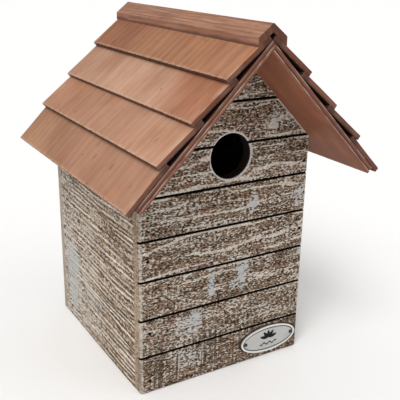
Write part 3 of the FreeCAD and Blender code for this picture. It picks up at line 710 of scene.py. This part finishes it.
def printed_ink(name, colour, seed):
    """Matt ink with faint thin places."""
    g = Graph(name, (X, Z, Y), seed)
    thin = g.grain((1.4, 1.0, 1.0), 2, 1.0, 2.2)
    shade = g.mix(g.times(g.ease(thin, 0.55, 1.0), 0.25), colour, lit(colour, 6.0))
    return g.finish(shade, g.plus(g.times(thin, 0.2), 0.5), thin, 0.01, Specular_IOR_Level=0.15)


def enamel_material():
    """Glossy enamel with a little grime and a cleaner raised rim."""
    g = Graph("plaque_enamel", (X, Z, Y), 61.0)
    cloud = g.grain((7, 5, 5), 3, 1.0, 1.8)
    speck = g.ease(g.grain((0.7, 0.7, 0.7), 2, 2.0, 2.2), 0.78, 1.0)
    shade = g.mix(g.ease(cloud, 0.35, 0.9), ENAMEL, lit(ENAMEL, 0.88))
    shade = g.mix(g.times(speck, 0.45), shade, ENAMEL_GRIME)
    raised = g.ease(g.through, FRONT - 0.80 * MM, FRONT - 0.92 * MM)
    shade = g.mix(raised, shade, ENAMEL_RIM)
    rough = g.plus(g.total((cloud, 0.16), (speck, 0.3)), 0.20)
    height = g.total((cloud, 0.7), (speck, 0.3))
    return g.finish(shade, rough, height, 0.02, Coat_Weight=0.35, Coat_Roughness=0.15)


def dress(node, material):
    """Gives a CAD node its finished material."""
    mesh = frame["nodes"][node].data
    mesh.materials.clear()
    mesh.materials.append(material)


# --- boards built as meshes -----------------------------------------------------------------------
def ticks(low, high, radius, step, extra=()):
    """Grid places from one face of a board to the other, with the stops that round its two edges."""
    inner_low = low + radius
    inner_high = high - radius
    count = max(1, round((inner_high - inner_low) / step))
    middle = [inner_low + (inner_high - inner_low) * i / count for i in range(count + 1)]
    eased = radius * math.tan(math.radians(22.5))
    return sorted([low, inner_low - eased, *middle, *extra, inner_high + eased, high])


def rounded(place, low, high, radius):
    """Moves a point on a board's square outline to the outline with eased edges."""
    core = Vector([min(max(p, a + radius), b - radius) for p, a, b in zip(place, low, high)])
    out = place - core
    if out.length < 1e-9:
        return place
    return core + out * (radius / out.length)


def board_mesh(low, high, radius, steps, shape, extra=()):
    """(points, faces, middles) of an eased board between two corners. shape moves each point of it.

    extra are more grid places through the thickness, and middles are the faces' own places in it.
    """
    grid = [ticks(a, b, radius, step) for a, b, step in zip(low[:2], high[:2], steps)]
    grid.append(ticks(low[2], high[2], radius, steps[2], extra))
    points = []
    index = {}

    def corner(key):
        if key not in index:
            index[key] = len(points)
            place = Vector([grid[axis][key[axis]] for axis in range(3)])
            points.append(shape(rounded(place, low, high, radius)))
        return index[key]

    faces = []
    middles = []
    for axis in range(3):
        u, v = (axis + 1) % 3, (axis + 2) % 3
        for end in (0, len(grid[axis]) - 1):
            for i in range(len(grid[u]) - 1):
                for j in range(len(grid[v]) - 1):
                    ring = []
                    depth = 0.0
                    for du, dv in ((0, 0), (1, 0), (1, 1), (0, 1)):
                        key = [0, 0, 0]
                        key[axis], key[u], key[v] = end, i + du, j + dv
                        ring.append(corner(tuple(key)))
                        depth += grid[2][key[2]] / 4
                    faces.append(ring if end else ring[::-1])
                    middles.append(depth)
    return points, faces, middles


def mesh_object(name, points, faces, materials, face_materials=None, smooth=True):
    mesh = bpy.data.meshes.new(name)
    mesh.from_pydata([tuple(p) for p in points], [], faces)
    for material in materials:
        mesh.materials.append(material)
    mesh.polygons.foreach_set("use_smooth", [smooth] * len(faces))
    if face_materials:
        mesh.polygons.foreach_set("material_index", face_materials)
    mesh.update()
    piece = bpy.data.objects.new(name, mesh)
    bpy.context.scene.collection.objects.link(piece)
    return piece


def bumpy(*place):
    """Smooth noise from about -1 to 1."""
    return noise.noise(Vector(place))


def board_frame(node, axes):
    """(turn from the board's own directions, its low corner, its high corner) for a CAD node."""
    spans = [extent(node, axis) for axis in axes]
    low, high = [Vector([span[end] for span in spans]) for end in (0, 1)]
    return Matrix(axes).transposed(), low, high


SHINGLE_EASING = 0.5 * MM
SHINGLE_STEPS = (1.6 * MM, 1.9 * MM, 1.2 * MM)
DECK_EASING = 0.3 * MM
DECK_STEPS = (3 * MM, 3 * MM, 2 * MM)
PLY_LIP = 0.08 * MM
CORE_RECESS = 0.40               # in millimetres


def shingle(side_name, side, course):
    """A hand-finished shingle: eased edges, a slightly ragged lower end and a gently uneven face."""
    name = f"{side_name}_shingle_{course}"
    turn, low, high = board_frame(name, shingle_axes(side, course))
    seed = 13.0 * course + 57.0 * (side > 0)

    def shape(place):
        g, v, w = place
        reach = (g - low.x) / (high.x - low.x)
        ragged = bumpy(v / (5 * MM), seed, 0.0) * 0.22 + bumpy(v / (1.6 * MM), seed, 4.0) * 0.12
        wave = bumpy(v / (48 * MM), g / (30 * MM), seed) * 0.22
        ridge = bumpy(v / (3.2 * MM), g / (45 * MM), seed + 9) * 0.07
        side_wear = bumpy(g / (7 * MM), w / (4 * MM), seed + 3) * 0.15
        g += ragged * MM * max(0.0, reach * 2 - 1)
        w += (wave * reach + ridge) * MM
        v += side_wear * MM * (1 if v > (low.y + high.y) / 2 else -1)
        return turn @ Vector((g, v, w))

    points, faces, _ = board_mesh(low, high, SHINGLE_EASING, SHINGLE_STEPS, shape)
    material = shingle_material(side_name, side, course, list(zip(low, high)))
    piece = mesh_object(f"{name}_board", points, faces, [material])
    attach(piece, "box")
    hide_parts(name)


def deck(side_name, side):
    """A three-ply sheet. At its edges the dark core has shrunk back between the two faces."""
    node = f"{side_name}_roof_deck"
    turn, low, high = board_frame(node, slope_axes(side))
    core_low, core_high = [low.z + edge * MM for edge in PLY_EDGES]
    stops = (core_low, core_low + PLY_LIP, (core_low + core_high) / 2, core_high - PLY_LIP, core_high)

    def shape(place):
        g, v, w = place
        layer = (w > core_low + PLY_LIP / 2) + (w > core_high - PLY_LIP / 2)
        recess = CORE_RECESS if layer == 1 else 0.0
        fray = bumpy(g / (3.5 * MM), v / (3.5 * MM), 5.0 * layer + side) * 0.10 - recess
        g += fray * MM * (g > high.x - 1 * MM)
        v += fray * MM * (1 if v > high.y - 1 * MM else -1 if v < low.y + 1 * MM else 0)
        return turn @ Vector((g, v, w))

    points, faces, middles = board_mesh(low, high, DECK_EASING, DECK_STEPS, shape, stops)
    face = ply_material(f"ply_face_{side_name}", side, 41.0 + side, low.z,
                        PLY_DARK, PLY_LIGHT, PLY_EDGE_SHADE)
    core = ply_material(f"ply_core_{side_name}", side, 45.0 + side, low.z,
                        CORE_DARK, CORE_LIGHT, CORE_EDGE_SHADE)
    kinds = [1 if core_low + PLY_LIP < middle < core_high - PLY_LIP else 0 for middle in middles]
    piece = mesh_object(f"{side_name}_deck_plies", points, faces, [face, core], kinds)
    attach(piece, "box")
    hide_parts(node)


# --- plaque decoration, in millimetres unless said otherwise --------------------------------------
FIELD_DEPTH = 0.7                # from the back of the plaque to its sunken field
PRINT_PROUD = 0.05
BORDER_SIDES = 96
BORDER_INSETS = ((2.42, 0.0), (2.37, PRINT_PROUD), (1.73, PRINT_PROUD), (1.68, 0.0))
LEAF_TURNS = (-74, -38, 0, 38, 74)    # in degrees from upright
LEAF_LENGTH = 6.6                # of the upright leaf
LEAF_LENGTHENING = 1.2           # more than that in the two outer ones
LEAF_WIDTH = 2.7
LEAF_STEPS = 10
RULE_WIDTH = 15.6
RULE_HALF_THICKNESS = 0.54
RULE_Z = -4.1
RULE_SWING = 0.85
RULE_PITCH = 5.2
RULE_STEPS = 40


def thin_shape(outline, face_y, thickness):
    """(points, faces) of a flat plate that stands on the plaque, from an outline of (x, z) in metres."""
    turning = sum(x0 * z1 - x1 * z0 for (x0, z0), (x1, z1) in zip(outline, outline[1:] + outline[:1]))
    if turning < 0:
        outline = outline[::-1]
    size = len(outline)
    points = [Vector((x, face_y - thickness, z)) for x, z in outline]
    points += [Vector((x, face_y, z)) for x, z in outline]
    faces = [list(range(size)), list(range(2 * size - 1, size - 1, -1))]
    faces += [[i, i + size, (i + 1) % size + size, (i + 1) % size] for i in range(size)]
    return points, faces


def joined(shapes):
    """One (points, faces) from several."""
    points, faces = [], []
    for more_points, more_faces in shapes:
        faces += [[i + len(points) for i in ring] for ring in more_faces]
        points += more_points
    return points, faces


def leaf(foot, length, direction):
    """The outline of a pointed leaf that grows from its foot."""
    upper = []
    for i in range(1, LEAF_STEPS):
        swell = math.sin(math.pi * i / LEAF_STEPS) ** 0.8
        upper.append((length * i / LEAF_STEPS, 0.5 * LEAF_WIDTH * swell))
    ring = [(0.0, 0.0), *upper, (length, 0.0), *[(x, -z) for x, z in reversed(upper)]]
    cos, sin = math.cos(direction), math.sin(direction)
    return [(foot[0] + x * cos - z * sin, foot[1] + x * sin + z * cos) for x, z in ring]


def ornament_outlines():
    """A fan of leaves above a wavy rule, from the middle of the plaque."""
    shapes = []
    for turn in LEAF_TURNS:
        lean = math.radians(90 - turn)
        length = LEAF_LENGTH + LEAF_LENGTHENING * abs(turn) / max(LEAF_TURNS)
        foot = (0.4 * math.cos(lean), 0.3 + 0.4 * math.sin(lean))
        shapes.append(leaf(foot, length, lean))
    places = [RULE_WIDTH * (i / RULE_STEPS - 0.5) for i in range(RULE_STEPS + 1)]
    middle = [(x, RULE_Z + RULE_SWING * math.sin(2 * math.pi * x / RULE_PITCH)) for x in places]
    upper = [(x, z + RULE_HALF_THICKNESS) for x, z in middle]
    lower = [(x, z - RULE_HALF_THICKNESS) for x, z in reversed(middle)]
    return shapes + [upper + lower]


def border_mesh(centre, half_width, half_height, face_y):
    """(points, faces) of the printed oval line inside the plaque's rim."""
    points, faces = [], []
    for i in range(BORDER_SIDES):
        angle = 2 * math.pi * i / BORDER_SIDES
        for inset, lift in BORDER_INSETS:
            x = centre.x + (half_width - inset * MM) * math.cos(angle)
            z = centre.z + (half_height - inset * MM) * math.sin(angle)
            points.append(Vector((x, face_y - lift * MM, z)))
    for i in range(BORDER_SIDES):
        a, b = 4 * i, 4 * ((i + 1) % BORDER_SIDES)
        for j in range(4):
            k = (j + 1) % 4
            faces.append([a + j, a + k, b + k, b + j])
    return points, faces


def plaque_decoration():
    """A printed border line and a leaf ornament, a hair proud of the enamel."""
    low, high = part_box("plaque")
    centre = (low + high) / 2
    face_y = high.y - FIELD_DEPTH * MM
    ink = printed_ink("plaque_ink", INK, 63.0)
    line_ink = printed_ink("plaque_line_ink", LINE_INK, 64.0)
    points, faces = border_mesh(centre, (high.x - low.x) / 2, (high.z - low.z) / 2, face_y)
    line = mesh_object("plaque_border_line", points, faces, [line_ink], smooth=False)

    shapes = []
    for ring in ornament_outlines():
        outline = [(centre.x + x * MM, centre.z + z * MM) for x, z in ring]
        shapes.append(thin_shape(outline, face_y, PRINT_PROUD * MM))
    points, faces = joined(shapes)
    sprig = mesh_object("plaque_leaf_ornament", points, faces, [ink], smooth=False)
    for piece in (line, sprig):
        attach(piece, "box")


# --- studio ---------------------------------------------------------------------------------------
VIEW_AZIMUTH = math.radians(-31.07)
VIEW_ELEVATION = math.radians(19.56)
VIEW_ROLL = math.radians(0.99)
VIEW_TARGET = Vector((-22.98 * MM, FRONT, 139.13 * MM))
VIEW_DISTANCE = 461.6 * MM
LENS = 61.67
SENSOR = 36.0
SURROUNDINGS = 0.62              # brightness of the white round the studio
FLOOR_REACH = 15.0
FLOOR_WHITE = (0.95, 0.95, 0.95, 1.0)


def camera():
    back = Vector((math.sin(VIEW_AZIMUTH) * math.cos(VIEW_ELEVATION),
                   -math.cos(VIEW_AZIMUTH) * math.cos(VIEW_ELEVATION), math.sin(VIEW_ELEVATION)))
    right = (-back).cross(Z).normalized()
    up = right.cross(-back)
    across = right * math.cos(VIEW_ROLL) + up * math.sin(VIEW_ROLL)
    upward = up * math.cos(VIEW_ROLL) - right * math.sin(VIEW_ROLL)
    data = bpy.data.cameras.new("camera")
    data.sensor_width = SENSOR
    data.lens = LENS
    data.clip_start = 0.01
    data.clip_end = 60.0
    eye = bpy.data.objects.new("camera", data)
    turn = Matrix((across, upward, back)).transposed().to_4x4()
    eye.matrix_world = Matrix.Translation(VIEW_TARGET + back * VIEW_DISTANCE) @ turn
    bpy.context.scene.collection.objects.link(eye)
    bpy.context.scene.camera = eye


def sun(name, towards, strength, angle, colour):
    """A far, soft light that shines from the direction towards."""
    data = bpy.data.lights.new(name, "SUN")
    data.energy = strength
    data.angle = math.radians(angle)
    data.color = colour
    lamp = bpy.data.objects.new(name, data)
    lamp.rotation_euler = Vector(towards).to_track_quat("Z", "Y").to_euler()
    bpy.context.scene.collection.objects.link(lamp)


def studio():
    """A pale floor, soft white surroundings, a key light from the front left and a weak fill."""
    world = bpy.data.worlds.new("studio")
    world.use_nodes = True
    bpy.context.scene.world = world
    background = world.node_tree.nodes["Background"]
    background.inputs["Color"].default_value = (1.0, 1.0, 1.0, 1.0)
    background.inputs["Strength"].default_value = SURROUNDINGS
    bpy.context.scene.view_settings.view_transform = "Standard"
    sun("key", (-0.60, -0.42, 0.85), 1.75, 32, (1.0, 0.985, 0.96))
    sun("fill", (0.75, -0.80, 0.45), 0.30, 40, (0.97, 0.985, 1.0))

    data = bpy.data.materials.new("studio_floor")
    data.use_nodes = True
    shader = data.node_tree.nodes["Principled BSDF"]
    shader.inputs["Base Color"].default_value = FLOOR_WHITE
    shader.inputs["Roughness"].default_value = 0.9
    square = ((-1, -1), (1, -1), (1, 1), (-1, 1))
    corners = [Vector((x * FLOOR_REACH, y * FLOOR_REACH, -0.2 * MM)) for x, y in square]
    mesh_object("studio_floor", corners, [[0, 1, 2, 3]], [data])


# --- assembly -------------------------------------------------------------------------------------
camera()
studio()

dress("front_board", front_material())
dress("back_board", back_material())
dress("cleaning_door", door_material())
dress("floor_board", floor_material())
dress("ridge_cap", cap_material())
for side_name, side_sign in SIDES.items():
    dress(f"{side_name}_side_board", side_material(side_name, side_sign))
    deck(side_name, side_sign)
    for row in range(1, SHINGLE_COURSES + 1):
        shingle(side_name, side_sign, row)

hardware = {
    "nail_steel": metal("nail_iron", IRON, 0.72, 51.0, IRON_SPOTS),
    "zinc_hardware": metal("zinc_plate", ZINC, 0.42, 53.0, ZINC_SPOTS),
    "zinc_screws": metal("screw_zinc", SCREW_ZINC, 0.40, 55.0, SCREW_SPOTS),
}
for part in frame["record"]["subparts"]:
    if part["material_slot"] in hardware:
        dress(part["node"], hardware[part["material_slot"]])
dress("plaque_pins", metal("pin_steel", PIN_STEEL, 0.42, 57.0, PIN_SPOTS))
dress("plaque", enamel_material())
plaque_decoration()
